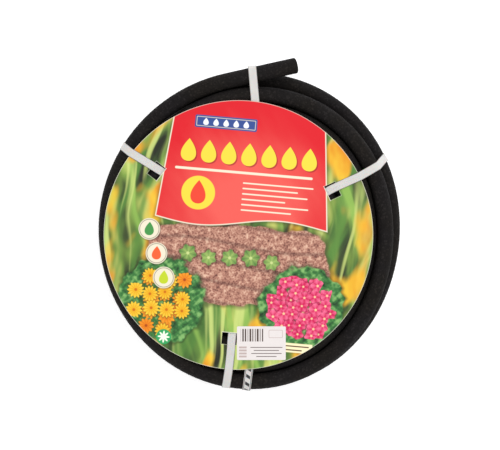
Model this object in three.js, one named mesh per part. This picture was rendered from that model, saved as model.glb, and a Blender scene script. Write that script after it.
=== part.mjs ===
// A soaker hose put up for the shelf: one length of porous rubber hose wound into a flat coil, held by
// two binding straps, with a round printed card on top that three more straps hold through its slots.
// Millimetres, +Z up. The coil lies flat on the undersides of its straps.

import * as THREE from 'three';

const TURN = 2 * Math.PI;
const degrees = THREE.MathUtils.degToRad;

// ---- Hose ------------------------------------------------------------------------------------------
const hoseOuter = 19;          // outside diameter
const hoseBore = 13;           // inside diameter
const boreDepth = 16;          // how far the bore is open behind each cut end
const hoseSides = 6;           // faces round the hose

// ---- Winding ---------------------------------------------------------------------------------------
const layers = 4;
const loopsPerLayer = 6;
const stepsPerLoop = 24;
const innerRadius = 58;        // centre of the hose where a layer ends at the inside
const ovalReach = 4.8;         // the coil is this much longer and narrower than round
const ovalAngle = degrees(86);        // where it is longest
const lobeReach = 1.5;         // the coil bulges this much in three places
const lobeAngle = degrees(50);        // where one of them is
const loopGap = 0.5;           // between neighbouring loops of one layer
const layerGap = 0.6;          // between one layer and the next
const climbTurns = 0.5;        // part of a turn in which the hose climbs from layer to layer
const freeEndAngle = degrees(99.3);   // where the free end leaves the coil
const freeEndLength = 86;      // straight run of the free end
const hiddenEndLength = 24;    // straight run of the other end, at the bottom
const hiddenEndSteps = 3;      // steps by which the hidden end stops short of the free one
const tangentReach = 1 / 400;  // turns over which the hose's direction is taken
const finePerStep = 30;        // points to a step where the straps are laid on the hose

// ---- Straps ----------------------------------------------------------------------------------------
const strapWidth = 10;
const strapThickness = 0.7;
const strapClearance = 0.3;    // between a strap and what it holds
const strapBends = 36;         // directions in which a taut strap is laid against the coil
const weldLength = 28;         // overlap where the ends of a strap are welded, at the inside of the coil
const mitreLimit = 5;          // a strap's sharpest corner reaches out by this many thicknesses at most

// ---- Card ------------------------------------------------------------------------------------------
const cardDiameter = 320;
const cardThickness = 1;
const cardCentre = new THREE.Vector2(-15.4, -2);   // the card lies off the middle of the coil
const cardSegments = 120;
const slotInset = 36.5;        // from the edge of the card to the middle of a slot
const slotLength = 14;         // along the strap
const slotWidth = 18;          // across the strap
const slotMargin = 1.3;        // between a strap and the end of its slot, for a strap that runs aslant

// ---- Label on the card -----------------------------------------------------------------------------
const labelWidth = 58;
const labelHeight = 40;
const labelThickness = 0.2;
const labelCorner = 1.5;
const labelGap = 1.3;          // between the label and the card strap beside it
const labelInset = 31.5;       // from the front of the card to the middle of the label

// ---- Materials -------------------------------------------------------------------------------------
const rubber = new THREE.MeshStandardMaterial({ color: 0x1d1d1f, roughness: 0.95, metalness: 0 });
const board = new THREE.MeshStandardMaterial({ color: 0xa8452c, roughness: 0.45, metalness: 0 });
const paper = new THREE.MeshStandardMaterial({ color: 0xf2f2f0, roughness: 0.6, metalness: 0 });
const plastic = new THREE.MeshStandardMaterial({ color: 0xe4e7ea, roughness: 0.35, metalness: 0 });

// ---- Levels, worked out from the sizes above -------------------------------------------------------
const hoseRadius = hoseOuter / 2;
const loops = layers * loopsPerLayer;
// A step is a straight chord, so neighbouring chords lie closer than their corners do. Loops also lie
// closer where they run aslant, most of all at the inside: the slopes there are those of the oval, of the
// three bulges and of the spiral.
const steepestSlant = Math.atan((2 * ovalReach + 3 * lobeReach + hoseOuter / TURN) / innerRadius);
const loopPitch = (hoseOuter + loopGap) / Math.cos(TURN / stepsPerLoop / 2) / Math.cos(steepestSlant);
const windingRadius = innerRadius + loopsPerLayer * loopPitch;
const layerPitch = hoseOuter + layerGap;
const hoseBottom = strapThickness + strapClearance;
const topLayerHeight = hoseBottom + hoseRadius + (layers - 1) * layerPitch;
const hoseTop = topLayerHeight + hoseRadius;
const cardBottom = hoseTop + strapThickness + 2 * strapClearance;
const cardTop = cardBottom + cardThickness;
const slotReach = cardDiameter / 2 - slotInset;

// ---- The line that the hose follows ----------------------------------------------------------------

// Loops counted in from the outside: the spiral runs in, then out again, at a steady rate.
function loopsInward(turn) {
  const lap = turn % (2 * loopsPerLayer);
  return Math.min(lap, 2 * loopsPerLayer - lap);
}

// The hose drops a layer in the part of a turn round each place where the spiral reverses.
function windingHeight(turn) {
  let dropped = 0;
  for (let layer = 1; layer < layers; layer += 1) {
    const reversal = layer * loopsPerLayer;
    dropped += THREE.MathUtils.smoothstep(turn, reversal - climbTurns / 2, reversal + climbTurns / 2);
  }
  return topLayerHeight - dropped * layerPitch;
}

// How much further out than on a round coil every loop runs in a direction.
function unevenness(angle) {
  return ovalReach * Math.cos(2 * (angle - ovalAngle)) + lobeReach * Math.cos(3 * (angle - lobeAngle));
}

// A place on the hose's centre line, in turns from where the free end leaves the coil.
function windingPoint(turn) {
  const angle = freeEndAngle + turn * TURN;
  const radius = windingRadius - loopPitch * loopsInward(turn) + unevenness(angle);
  return new THREE.Vector3(radius * Math.cos(angle), radius * Math.sin(angle), windingHeight(turn));
}

// A straight, level run that leaves the winding at a turn: outwards from its start where way is -1, from
// its end where way is 1.
function straightRun(turn, way, length, spacing) {
  const start = windingPoint(turn);
  const before = windingPoint(turn - way * tangentReach);
  const direction = start.clone().sub(before).setZ(0).normalize();
  const count = Math.max(1, Math.round(length / spacing));
  return Array.from({ length: count }, (_, i) => (
    start.clone().addScaledVector(direction, (length * (i + 1)) / count)
  ));
}

// The whole centre line from the free end to the hidden one, with so many points to a loop.
function hoseLine(pointsPerLoop) {
  const lastTurn = loops - hiddenEndSteps / stepsPerLoop;
  const count = Math.round(lastTurn * pointsPerLoop);
  const winding = Array.from({ length: count + 1 }, (_, i) => windingPoint((i / count) * lastTurn));
  const spacing = (windingRadius * TURN) / pointsPerLoop;
  const freeEnd = straightRun(0, -1, freeEndLength, spacing).reverse();
  const hiddenEnd = straightRun(lastTurn, 1, hiddenEndLength, spacing);
  return [...freeEnd, ...winding, ...hiddenEnd];
}

// Points along the straight steps of a line, so many to a step.
function pointsOnSteps(line, perStep) {
  return line.slice(1).flatMap((end, i) => (
    Array.from({ length: perStep }, (_, k) => line[i].clone().lerp(end, k / perStep))
  ));
}

// The hose's least gap to itself, measured between points that are a quarter of a loop or more apart.
function leastGap(line) {
  const perStep = 4;
  const points = pointsOnSteps(line, perStep);
  const quarterLoop = (stepsPerLoop * perStep) / 4;
  let least = Infinity;
  for (let i = 0; i < points.length; i += 1) {
    for (let j = i + quarterLoop; j < points.length; j += 1) {
      least = Math.min(least, points[i].distanceToSquared(points[j]));
    }
  }
  return Math.sqrt(least) - hoseOuter;
}

// ---- Hose ------------------------------------------------------------------------------------------

// One ring of points round the hose, with a corner on top, square to the line.
function hoseRing(centre, direction, diameter) {
  const side = new THREE.Vector3(0, 0, 1).cross(direction).normalize();
  const up = direction.clone().cross(side).normalize();
  return Array.from({ length: hoseSides }, (_, k) => {
    const angle = TURN / 4 + (k * TURN) / hoseSides;
    return centre.clone()
      .addScaledVector(side, (diameter / 2) * Math.cos(angle))
      .addScaledVector(up, (diameter / 2) * Math.sin(angle));
  });
}

// The direction of the line at a point: halfway between the steps before and after it.
function lineDirection(line, i) {
  const before = line[Math.max(i - 1, 0)];
  const after = line[Math.min(i + 1, line.length - 1)];
  const here = line[i];
  const arriving = i > 0 ? here.clone().sub(before).normalize() : after.clone().sub(here).normalize();
  const leaving = i < line.length - 1 ? after.clone().sub(here).normalize() : arriving.clone();
  return arriving.add(leaving).normalize();
}

// Rings in order from the floor of one end's bore, over its rim, along the hose, to the other's floor.
function hoseRings(line) {
  const last = line.length - 1;
  const rings = line.map((point, i) => hoseRing(point, lineDirection(line, i), hoseOuter));
  const boreRings = (i, inward) => {
    const direction = lineDirection(line, i);
    const floor = line[i].clone().addScaledVector(direction, inward * boreDepth);
    return [hoseRing(floor, direction, hoseBore), hoseRing(line[i], direction, hoseBore)];
  };
  return [...boreRings(0, 1), ...rings, ...boreRings(last, -1).reverse()];
}

// A closed skin over rings that each hold the same number of points.
function skinOverRings(rings) {
  const positions = rings.flat().flatMap((point) => point.toArray());
  const sides = rings[0].length;
  const index = [];
  for (let r = 0; r + 1 < rings.length; r += 1) {
    for (let k = 0; k < sides; k += 1) {
      const a = r * sides + k;
      const b = r * sides + ((k + 1) % sides);
      index.push(a, b, b + sides, a, b + sides, a + sides);
    }
  }
  const lastRing = (rings.length - 1) * sides;
  for (let k = 1; k + 1 < sides; k += 1) {
    index.push(0, k + 1, k);
    index.push(lastRing, lastRing + k, lastRing + k + 1);
  }
  const geometry = new THREE.BufferGeometry();
  geometry.setAttribute('position', new THREE.Float32BufferAttribute(positions, 3));
  geometry.setIndex(index);
  geometry.computeVertexNormals();
  return geometry;
}

function makeHose() {
  const line = hoseLine(stepsPerLoop);
  const length = new THREE.CurvePath();
  line.slice(1).forEach((point, i) => length.add(new THREE.LineCurve3(line[i], point)));
  const gap = leastGap(line);
  console.log(`hose: ${(length.getLength() / 1000).toFixed(2)} m in ${loops} loops`);
  console.log(`least gap of the hose to itself: ${gap.toFixed(2)} mm`);
  return namedMesh('hose', skinOverRings(hoseRings(line)), rubber);
}

// ---- Card and label --------------------------------------------------------------------------------

// The three slots, each turned to face the middle of the card. A strap lies at one side of its slot:
// side 1 is anticlockwise seen from above.
const frontCardStrap = {
  name: 'card_strap_front', heading: degrees(262.9), slotAngle: degrees(265), side: 1,
};
const cardStraps = [
  { name: 'card_strap_right', heading: degrees(30.6), slotAngle: degrees(25), side: 1 },
  { name: 'card_strap_left', heading: degrees(148.3), slotAngle: degrees(142), side: -1 },
  frontCardStrap,
];

// A card strap's place in its slot: beside the slot's middle, towards one side of it.
function placeInSlot(strap) {
  const aside = strap.side * ((slotWidth - strapWidth) / 2 - slotMargin);
  return new THREE.Vector2(slotReach, aside)
    .rotateAround(new THREE.Vector2(0, 0), strap.slotAngle)
    .add(cardCentre);
}

function slotPath(angle) {
  const path = new THREE.Path();
  const corners = [[-1, -1], [-1, 1], [1, 1], [1, -1]].map(([along, across]) => (
    new THREE.Vector2(slotReach + (along * slotLength) / 2, (across * slotWidth) / 2)
      .rotateAround(new THREE.Vector2(0, 0), angle)
  ));
  return path.setFromPoints(corners);
}

function makeCard() {
  const disc = new THREE.Shape();
  disc.absarc(0, 0, cardDiameter / 2, 0, TURN);
  cardStraps.forEach((strap) => disc.holes.push(slotPath(strap.slotAngle)));
  const geometry = new THREE.ExtrudeGeometry(disc, {
    depth: cardThickness, bevelEnabled: false, curveSegments: cardSegments,
  });
  const card = namedMesh('card', geometry, board);
  card.position.set(cardCentre.x, cardCentre.y, cardBottom);
  return card;
}

// A thin rectangle with small round corners, stuck on the card.
function makeLabel() {
  const halfWidth = labelWidth / 2;
  const halfHeight = labelHeight / 2;
  const outline = new THREE.Shape();
  [[1, -1, -1], [1, 1, 0], [-1, 1, 1], [-1, -1, 2]].forEach(([x, y, quarter]) => {
    const cx = x * (halfWidth - labelCorner);
    const cy = y * (halfHeight - labelCorner);
    outline.absarc(cx, cy, labelCorner, (quarter * TURN) / 4, ((quarter + 1) * TURN) / 4);
  });
  const geometry = new THREE.ExtrudeGeometry(outline, {
    depth: labelThickness, bevelEnabled: false, curveSegments: 4,
  });
  const label = namedMesh('card_label', geometry, paper);
  const strapEdge = placeInSlot(frontCardStrap).x + strapWidth / 2;
  const front = cardCentre.y - cardDiameter / 2;
  label.position.set(strapEdge + labelGap + halfWidth, front + labelInset, cardTop);
  return label;
}

// ---- Straps ----------------------------------------------------------------------------------------

// A strap is drawn in its own upright plane: reach along its heading, and height. The plane passes the
// coil's middle at a small distance, its offset.
function inStrapPlane(heading, x, y) {
  const along = x * Math.cos(heading) + y * Math.sin(heading);
  const across = y * Math.cos(heading) - x * Math.sin(heading);
  return { along, across };
}

// Discs that the middle of the strap's thickness has to pass round, one for each place of the hose. A ball
// of the hose's size round a place beside the strap still reaches under its edge, as a smaller disc.
function discsOfHose(line, heading, offset) {
  const halfWidth = strapWidth / 2 + strapClearance;
  const margin = strapClearance + strapThickness / 2;
  return line
    .map((point) => ({ ...inStrapPlane(heading, point.x, point.y), height: point.z }))
    .map((place) => ({ ...place, beside: Math.max(0, Math.abs(place.across - offset) - halfWidth) }))
    .filter((place) => place.along > 0 && place.beside < hoseRadius)
    .map((place) => ({ ...place, radius: Math.sqrt(hoseRadius ** 2 - place.beside ** 2) + margin }));
}

// The taut loop round some discs: straight lines that each touch the outermost disc in one direction.
function tautLoop(discs) {
  const lines = Array.from({ length: strapBends }, (_, k) => {
    const angle = (k * TURN) / strapBends;
    const normal = new THREE.Vector2(Math.cos(angle), Math.sin(angle));
    const reaches = discs.map((disc) => normal.x * disc.along + normal.y * disc.height + disc.radius);
    return { normal, reach: Math.max(...reaches) };
  });
  return lines.map((line, k) => crossing(line, lines[(k + 1) % strapBends]));
}

function crossing(first, second) {
  const turned = first.normal.cross(second.normal);
  return new THREE.Vector2(
    (first.reach * second.normal.y - second.reach * first.normal.y) / turned,
    (second.reach * first.normal.x - first.reach * second.normal.x) / turned,
  );
}

// The same closed loop, moved sideways by a distance: outwards where that is positive.
function offsetLoop(loop, distance) {
  return loop.map((point, i) => {
    const before = loop[(i + loop.length - 1) % loop.length];
    const after = loop[(i + 1) % loop.length];
    const arriving = point.clone().sub(before).normalize();
    const leaving = after.clone().sub(point).normalize();
    const normal = new THREE.Vector2(arriving.y + leaving.y, -arriving.x - leaving.x).normalize();
    const squareness = normal.x * arriving.y - normal.y * arriving.x;
    const stretch = 1 / Math.max(squareness, 1 / mitreLimit);
    return point.clone().addScaledVector(normal, distance * stretch);
  });
}

// The outside of a strap has a second thickness where its ends are welded, on the upright run at the
// inside of the coil. That run is the loop's longest step down.
function withWeld(outside) {
  const drop = (i) => outside[i].y - outside[(i + 1) % outside.length].y;
  const run = outside.reduce((best, _, i) => (drop(i) > drop(best) ? i : best), 0);
  const middle = (outside[run].y + outside[run + 1].y) / 2;
  const wall = outside[run].x;
  const raised = wall - strapThickness;
  const top = middle + weldLength / 2;
  const bottom = middle - weldLength / 2;
  const weld = [[wall, top], [raised, top], [raised, bottom], [wall, bottom]];
  const weldPoints = weld.map(([x, y]) => new THREE.Vector2(x, y));
  return [...outside.slice(0, run + 1), ...weldPoints, ...outside.slice(run + 1)];
}

// A strap's band, cut from its closed loop and as wide as the strap, set up in its own plane.
function makeStrap(name, heading, offset, loop) {
  const outline = new THREE.Shape(withWeld(offsetLoop(loop, strapThickness / 2)));
  outline.holes.push(new THREE.Path(offsetLoop(loop, -strapThickness / 2)));
  const band = new THREE.ExtrudeGeometry(outline, { depth: strapWidth, bevelEnabled: false });
  const strap = namedMesh(name, band, plastic);
  strap.rotation.x = TURN / 4;
  strap.position.y = offset + strapWidth / 2;
  const plane = new THREE.Group();
  plane.rotation.z = heading;
  plane.add(strap);
  return plane;
}

// The two straps that bind the coil pass under the card.
const bindingStraps = [
  { name: 'binding_strap_back', heading: degrees(95.2), offset: -18.5 },
  { name: 'binding_strap_front', heading: degrees(262.9), offset: 16 },
];

function makeBindingStrap(strap, line) {
  const loop = tautLoop(discsOfHose(line, strap.heading, strap.offset));
  return makeStrap(strap.name, strap.heading, strap.offset, loop);
}

// Where the strap's plane leaves the card, measured along the plane.
function cardEdgeAlong(heading, offset) {
  const centre = inStrapPlane(heading, cardCentre.x, cardCentre.y);
  const away = Math.abs(offset - centre.across) + strapWidth / 2;
  return centre.along + Math.sqrt((cardDiameter / 2) ** 2 - away ** 2);
}

// A card strap runs up the outside of the coil, over the card's edge and along the card to its slot,
// dives through the slot and goes on under the card to the inside of the coil.
function makeCardStrap(strap, line) {
  const place = placeInSlot(strap);
  const { along, across } = inStrapPlane(strap.heading, place.x, place.y);
  const halfSlot = slotLength / 2 / Math.cos(strap.heading - strap.slotAngle);
  const aslant = (strapWidth / 2) * Math.tan(Math.abs(strap.heading - strap.slotAngle));
  const radius = strapClearance + strapThickness / 2;
  const edge = { along: cardEdgeAlong(strap.heading, across), height: cardTop, radius };
  const hose = discsOfHose(line, strap.heading, across);
  const overCard = tautLoop([...hose, edge]);
  const underCard = tautLoop(hose);
  const up = strapBends / 4;
  const diveStart = new THREE.Vector2(along + halfSlot - aslant, cardTop + radius);
  const diveEnd = new THREE.Vector2(along - halfSlot + aslant, cardBottom - radius);
  const loop = [...overCard.slice(0, up), diveStart, diveEnd, ...underCard.slice(up)];
  return makeStrap(strap.name, strap.heading, across, loop);
}

// ---- Assembly --------------------------------------------------------------------------------------

function namedMesh(name, geometry, material) {
  const mesh = new THREE.Mesh(geometry, material);
  mesh.name = name;
  return mesh;
}

// The origin is on the ground in the middle of the part's own footprint.
function standOnOrigin(group) {
  const box = new THREE.Box3().setFromObject(group, true);
  const middle = box.getCenter(new THREE.Vector3());
  group.position.set(-middle.x, -middle.y, -box.min.z);
  return group;
}

function makeSoakerHose() {
  // Straps clear the hose as it really runs and as its straight steps run.
  const running = hoseLine(stepsPerLoop * finePerStep);
  const stepping = pointsOnSteps(hoseLine(stepsPerLoop), finePerStep);
  const held = [...running, ...stepping];
  const coil = new THREE.Group();
  coil.add(makeHose(), makeCard(), makeLabel());
  bindingStraps.forEach((strap) => coil.add(makeBindingStrap(strap, held)));
  cardStraps.forEach((strap) => coil.add(makeCardStrap(strap, held)));
  const part = new THREE.Group();
  part.name = 'soaker_hose';
  part.add(standOnOrigin(coil));
  return part;
}

export default makeSoakerHose();
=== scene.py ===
# %% [markdown]
# # A soaker hose, coiled for the shelf
# The object is one length of black porous rubber hose. It is wound into a flat coil, bound with two plastic
# straps, and it carries a round printed card that three more straps hold through its slots. The construction
# comes in as a fixed frame of plain solids. This lesson dresses it: the round hose with its crumbly skin,
# the straps, the printed card and the small label.

# %% The frame
import math

import bmesh
import bpy
import numpy as np
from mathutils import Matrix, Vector


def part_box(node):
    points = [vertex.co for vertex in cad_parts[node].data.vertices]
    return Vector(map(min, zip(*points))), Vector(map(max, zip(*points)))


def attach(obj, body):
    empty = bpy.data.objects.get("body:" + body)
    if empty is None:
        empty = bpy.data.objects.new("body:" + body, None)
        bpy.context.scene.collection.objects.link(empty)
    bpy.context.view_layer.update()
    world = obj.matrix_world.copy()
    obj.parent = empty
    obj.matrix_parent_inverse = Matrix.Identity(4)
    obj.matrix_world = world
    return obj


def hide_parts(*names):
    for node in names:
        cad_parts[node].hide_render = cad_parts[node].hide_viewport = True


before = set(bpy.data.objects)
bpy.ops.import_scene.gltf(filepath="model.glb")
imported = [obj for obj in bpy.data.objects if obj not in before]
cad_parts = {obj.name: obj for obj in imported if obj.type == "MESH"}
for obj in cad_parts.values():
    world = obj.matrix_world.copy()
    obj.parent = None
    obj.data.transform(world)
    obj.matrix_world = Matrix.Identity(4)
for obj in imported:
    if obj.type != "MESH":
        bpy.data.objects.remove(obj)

MM = 0.001
TURN = 2 * math.pi
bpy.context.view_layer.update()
print("solids in the frame:", ", ".join(sorted(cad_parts)))

# %% [markdown]
# ## Where the coil's axis is
# The hose and the straps are laid out round the axis of the coil, and the card lies a little off that axis.
# The frame says where the card is, so the axis follows from it and nothing has to be fitted by eye.

# %% The coil's axis
CARD_OFF_AXIS = Vector((-15.4, -2.0)) * MM
card_low, card_high = (Vector(corner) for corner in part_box("card"))
card_centre = (card_low + card_high) / 2
card_radius = (card_high.x - card_low.x) / 2
coil_axis = Vector((card_centre.x - CARD_OFF_AXIS.x, card_centre.y - CARD_OFF_AXIS.y, 0))
print("coil axis at", [round(c / MM, 2) for c in coil_axis], "mm")

# %% [markdown]
# ## The camera
# The photograph looks straight down on the coil from far away, so a long lens stands high above it. Its view
# is as wide as the picture's 500 pixels are on the real object at the height of the card. The middle of the
# picture is a few pixels from the coil's axis.

# %% The camera
PICTURE_PIXELS = (500, 450)
AXIS_PIXEL = (251.4, 233.3)
PIXEL_SIZE = 1.1875 * MM
VIEW_DISTANCE = 2.2
SENSOR_WIDTH = 36.0

picture_middle = coil_axis + PIXEL_SIZE * Vector((
    PICTURE_PIXELS[0] / 2 - AXIS_PIXEL[0],
    AXIS_PIXEL[1] - PICTURE_PIXELS[1] / 2,
    0,
))
lens = bpy.data.cameras.new("camera")
lens.sensor_width = SENSOR_WIDTH
lens.lens = SENSOR_WIDTH * VIEW_DISTANCE / (PICTURE_PIXELS[0] * PIXEL_SIZE)
camera = bpy.data.objects.new("camera", lens)
camera.location = (picture_middle.x, picture_middle.y, card_high.z + VIEW_DISTANCE)
bpy.context.collection.objects.link(camera)
bpy.context.scene.camera = camera
print("lens", round(lens.lens, 1), "mm at", round(camera.location.z, 2), "m")

# %% [markdown]
# ## The route of the hose
# The hose is wound as a machine winds it. It spirals in by one hose width a turn, climbs or drops a layer in
# the half turn where the spiral reverses, and spirals out again. The whole route is one formula in turns, so
# every loop lies where its neighbours leave room. A coil tied by hand isn't round: all its loops bulge alike,
# in two places and, less, in three. The free end runs straight off the top layer and droops a little towards
# its tip. The other end runs straight off the bottom layer.

# %% Sizes of the hose and its winding
HOSE_OUTER = 19 * MM
HOSE_BORE = 13 * MM
LAYERS = 4
LOOPS_PER_LAYER = 6
STEPS_PER_LOOP = 24
INNER_RADIUS = 58 * MM
OVAL_REACH = 4.8 * MM
OVAL_ANGLE = math.radians(86)
LOBE_REACH = 1.5 * MM
LOBE_ANGLE = math.radians(50)
LOOP_GAP = 0.5 * MM
LAYER_GAP = 0.6 * MM
CLIMB_TURNS = 0.5
FREE_END_ANGLE = math.radians(99.3)
FREE_END_LENGTH = 86 * MM
FREE_END_DROOP = 3.2 * MM
DROOP_LENGTH = 40 * MM
HIDDEN_END_LENGTH = 24 * MM
HIDDEN_END_STEPS = 3
TANGENT_REACH = 1 / 400

hose_radius = HOSE_OUTER / 2
loops = LAYERS * LOOPS_PER_LAYER
last_turn = loops - HIDDEN_END_STEPS / STEPS_PER_LOOP
steepest_slant = math.atan((2 * OVAL_REACH + 3 * LOBE_REACH + HOSE_OUTER / TURN) / INNER_RADIUS)
loop_pitch = (HOSE_OUTER + LOOP_GAP) / math.cos(TURN / STEPS_PER_LOOP / 2) / math.cos(steepest_slant)
winding_radius = INNER_RADIUS + LOOPS_PER_LAYER * loop_pitch
layer_pitch = HOSE_OUTER + LAYER_GAP
top_layer_height = Vector(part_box("hose")[1]).z - hose_radius
print(f"{loops} loops, {loop_pitch / MM:.1f} mm apart, outermost radius {winding_radius / MM:.0f} mm")

# %% The winding, in turns from where the free end leaves the coil
def smooth_step(value, low, high):
    t = np.clip((value - low) / (high - low), 0, 1)
    return t * t * (3 - 2 * t)


def loops_inward(turn):
    lap = np.mod(turn, 2 * LOOPS_PER_LAYER)
    return np.minimum(lap, 2 * LOOPS_PER_LAYER - lap)


def winding_height(turn):
    dropped = np.zeros_like(turn)
    for layer in range(1, LAYERS):
        reversal = layer * LOOPS_PER_LAYER
        dropped += smooth_step(turn, reversal - CLIMB_TURNS / 2, reversal + CLIMB_TURNS / 2)
    return top_layer_height - dropped * layer_pitch


def unevenness(angle):
    oval = OVAL_REACH * np.cos(2 * (angle - OVAL_ANGLE))
    return oval + LOBE_REACH * np.cos(3 * (angle - LOBE_ANGLE))


def winding_points(turn):
    """Places on the hose's centre line, round the coil's axis, for an array of turns."""
    turn = np.asarray(turn, float)
    angle = FREE_END_ANGLE + turn * TURN
    radius = winding_radius - loop_pitch * loops_inward(turn) + unevenness(angle)
    return np.column_stack((radius * np.cos(angle), radius * np.sin(angle), winding_height(turn)))


loop_radii = winding_radius - loop_pitch * loops_inward(np.arange(LOOPS_PER_LAYER + 1))
print("loops of a layer lie at", [round(float(radius) / MM) for radius in loop_radii], "mm")

# %% The whole line, with its straight ends
HOSE_POINTS_PER_LOOP = 120


def straight_run(turn, way, length, spacing):
    """A level run off the winding: off its start where way is -1, off its end where way is 1."""
    before, start = winding_points([turn - way * TANGENT_REACH, turn])
    direction = (start - before) * (1, 1, 0)
    direction /= np.linalg.norm(direction)
    reaches = np.linspace(0, length, max(1, round(length / spacing)) + 1)[1:]
    return start + reaches[:, None] * direction


def hose_line(points_per_loop):
    """The whole centre line, from the free end to the hidden one."""
    turns = np.linspace(0, last_turn, round(last_turn * points_per_loop) + 1)
    spacing = winding_radius * TURN / points_per_loop
    free_end = straight_run(0, -1, FREE_END_LENGTH, spacing)[::-1]
    from_tip = np.linalg.norm(free_end - free_end[0], axis=1)
    free_end[:, 2] -= FREE_END_DROOP * np.clip(1 - from_tip / DROOP_LENGTH, 0, 1) ** 2
    hidden_end = straight_run(last_turn, 1, HIDDEN_END_LENGTH, spacing)
    return np.vstack((free_end, winding_points(turns), hidden_end))


hose_path = hose_line(HOSE_POINTS_PER_LOOP) + np.array(coil_axis)

# %% [markdown]
# ## A helper for node trees
# Materials and Geometry Nodes are both trees of nodes. The helper adds a node with its inputs in one line.
# Numbers that a material works out at each place are kept as an Amount, so a formula can be written with
# plus and times signs, and each sign becomes a Math node.

# %% A number in a tree
class Amount:
    """A number that a node tree works out at each place."""

    def __init__(self, maker, socket):
        self.maker = maker
        self.socket = socket

    def __add__(self, other):
        return self.maker.maths("ADD", self, other)

    def __sub__(self, other):
        return self.maker.maths("SUBTRACT", self, other)

    def __rsub__(self, other):
        return self.maker.maths("SUBTRACT", other, self)

    def __mul__(self, other):
        return self.maker.maths("MULTIPLY", self, other)

    def __truediv__(self, other):
        return self.maker.maths("DIVIDE", self, other)

    def __abs__(self):
        return self.maker.maths("ABSOLUTE", self)

    __radd__ = __add__
    __rmul__ = __mul__


print("formulas ready")

# %% The node helper
class NodeMaker:
    """Adds nodes to one tree."""

    def __init__(self, tree):
        self.tree = tree

    def feed(self, socket, value):
        source = value.socket if isinstance(value, Amount) else value
        if isinstance(source, bpy.types.NodeSocket):
            self.tree.links.new(source, socket)
        else:
            socket.default_value = source

    def node(self, kind, inputs=None, **settings):
        made = self.tree.nodes.new(kind)
        for name, value in settings.items():
            setattr(made, name, value)
        for key, value in (inputs or {}).items():
            self.feed(made.inputs[key], value)
        return made

    def maths(self, operation, *values):
        made = self.node("ShaderNodeMath", dict(enumerate(values)), operation=operation)
        return Amount(self, made.outputs[0])

    def vector_maths(self, operation, first, second):
        return self.node("ShaderNodeVectorMath", {0: first, 1: second}, operation=operation).outputs[0]

    def vector(self, *parts):
        return self.node("ShaderNodeCombineXYZ", dict(enumerate(parts))).outputs[0]

    def parts(self, vector):
        """The three numbers of a vector."""
        return [Amount(self, part) for part in self.node("ShaderNodeSeparateXYZ", {0: vector}).outputs]

    def turned(self, vector, angle):
        """A vector turned round the upright axis."""
        made = self.node("ShaderNodeVectorRotate", {"Vector": vector, "Angle": angle}, rotation_type="Z_AXIS")
        return made.outputs[0]

    def attribute(self, name):
        return self.node("ShaderNodeAttribute", attribute_name=name).outputs


print("node helper ready")

# %% [markdown]
# ## Sweeping a section along a line
# The hose and the straps are the same idea: a section that follows a line. Geometry Nodes do it with Curve to
# Mesh. The line comes in as a chain of edges that also holds how far along each point is, and the section
# stores where round it each point is, so the materials can follow the piece instead of the room.

# %% A chain of edges that holds its distances
ALONG = "along"
ACROSS = "across"


def chain_object(name, runs):
    """Edges through each run of points. A run is (points, closed, distance of each point along it)."""
    places, edges, along = [], [], []
    for points, closed, distances in runs:
        first = len(places)
        count = len(points)
        places.extend(map(tuple, points))
        along.extend(distances)
        edges.extend((first + i, first + i + 1) for i in range(count - 1))
        if closed:
            edges.append((first + count - 1, first))
    mesh = bpy.data.meshes.new(name)
    mesh.from_pydata(places, edges, [])
    attribute = mesh.attributes.new(ALONG, "FLOAT", "POINT")
    attribute.data.foreach_set("value", along)
    obj = bpy.data.objects.new(name, mesh)
    bpy.context.collection.objects.link(obj)
    return obj


def distances_along(points):
    steps = np.linalg.norm(np.diff(points, axis=0), axis=1)
    return [0.0, *np.cumsum(steps)]


print("a chain marks its points with:", ALONG)

# %% What every sweep starts and ends with
def new_sweep(name, sizes):
    """A tree with named inputs, the maker of its nodes, what it is given, and the line that it follows."""
    tree = bpy.data.node_groups.new(name, "GeometryNodeTree")
    tree.interface.new_socket("Geometry", in_out="OUTPUT", socket_type="NodeSocketGeometry")
    kinds = {"Geometry": "NodeSocketGeometry", "Material": "NodeSocketMaterial", **sizes}
    for socket_name, kind in kinds.items():
        tree.interface.new_socket(socket_name, in_out="INPUT", socket_type=kind)
    maker = NodeMaker(tree)
    given = maker.node("NodeGroupInput").outputs
    line = maker.node("GeometryNodeMeshToCurve", {"Mesh": given["Geometry"]}).outputs[0]
    return tree, maker, given, line


def finish_sweep(maker, line, section, material, caps):
    """Marks each point of the section with its place in it, sweeps it, and dresses what that makes."""
    place = maker.node("GeometryNodeInputPosition").outputs[0]
    marked = maker.node("GeometryNodeStoreNamedAttribute", {
        "Geometry": section, "Name": ACROSS, "Value": place}, data_type="FLOAT_VECTOR")
    swept = maker.node("GeometryNodeCurveToMesh", {
        "Curve": line, "Profile Curve": marked.outputs[0], "Fill Caps": caps})
    real = maker.node("GeometryNodeRealizeInstances", {"Geometry": swept.outputs[0]})
    dressed = maker.node("GeometryNodeSetMaterial", {"Geometry": real.outputs[0], "Material": material})
    maker.node("NodeGroupOutput", {"Geometry": dressed.outputs[0]})


print("a sweep marks its section with:", ACROSS)

# %% From a tree to a plain mesh
def apply_tree(obj, tree, values):
    """Runs a tree on an object with named inputs, and keeps the result as a plain mesh."""
    modifier = obj.modifiers.new(tree.name, "NODES")
    modifier.node_group = tree
    for item in tree.interface.items_tree:
        if item.item_type == "SOCKET" and item.in_out == "INPUT" and item.name in values:
            modifier[item.identifier] = values[item.name]
    depsgraph = bpy.context.evaluated_depsgraph_get()
    mesh = bpy.data.meshes.new_from_object(
        obj.evaluated_get(depsgraph), preserve_all_data_layers=True, depsgraph=depsgraph)
    obj.modifiers.clear()
    obj.data = mesh
    mesh.name = obj.name


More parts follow.
